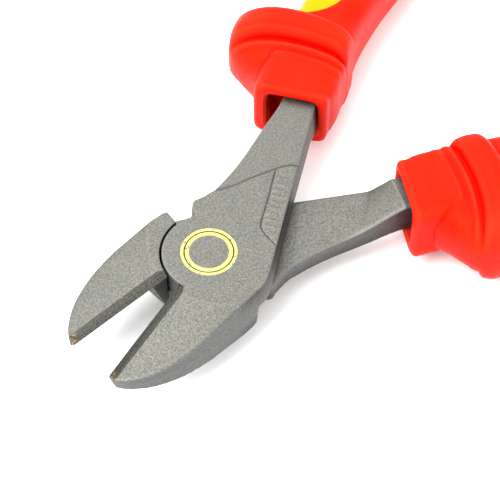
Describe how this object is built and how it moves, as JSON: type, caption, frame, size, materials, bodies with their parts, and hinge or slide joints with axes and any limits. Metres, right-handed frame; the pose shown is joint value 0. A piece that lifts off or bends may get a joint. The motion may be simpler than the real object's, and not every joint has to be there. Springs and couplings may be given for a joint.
{
  "type": "diagonal cutting pliers",
  "caption": "Insulated diagonal cutting pliers: lapped forged halves on a flush rivet, with two-tone guarded grips.",
  "frame": {"origin": "centre of the rivet's rear face, on the pivot axis", "axes": "+X along the tool from the handles to the jaw tips, +Z along the rivet toward the face with the upper half's lap, +Y across the tool toward the upper half's jaw"},
  "size_m": [0.1793, 0.1098, 0.0242],
  "materials": {
    "blasted_steel": "grit-blasted grey tool steel",
    "rivet_steel": "grit-blasted, flush with the joint",
    "yellow_moulding": "soft satin moulding",
    "red_moulding": "soft gloss moulding"
  },
  "bodies": {
    "lower": {"lower_half": "blasted_steel", "sleeve_lower": "yellow_moulding", "grip_lower": "red_moulding", "pivot_rivet": "rivet_steel"},
    "upper": {"upper_half": "blasted_steel", "sleeve_upper": "yellow_moulding", "grip_upper": "red_moulding"}
  },
  "joints": [
    {"name": "pivot", "type": "hinge", "parent": "lower", "child": "upper", "pos_m": [0, 0, 0.0058], "axis": [0, 0, 1], "range_deg": [-17.5, 23]}
  ]
}
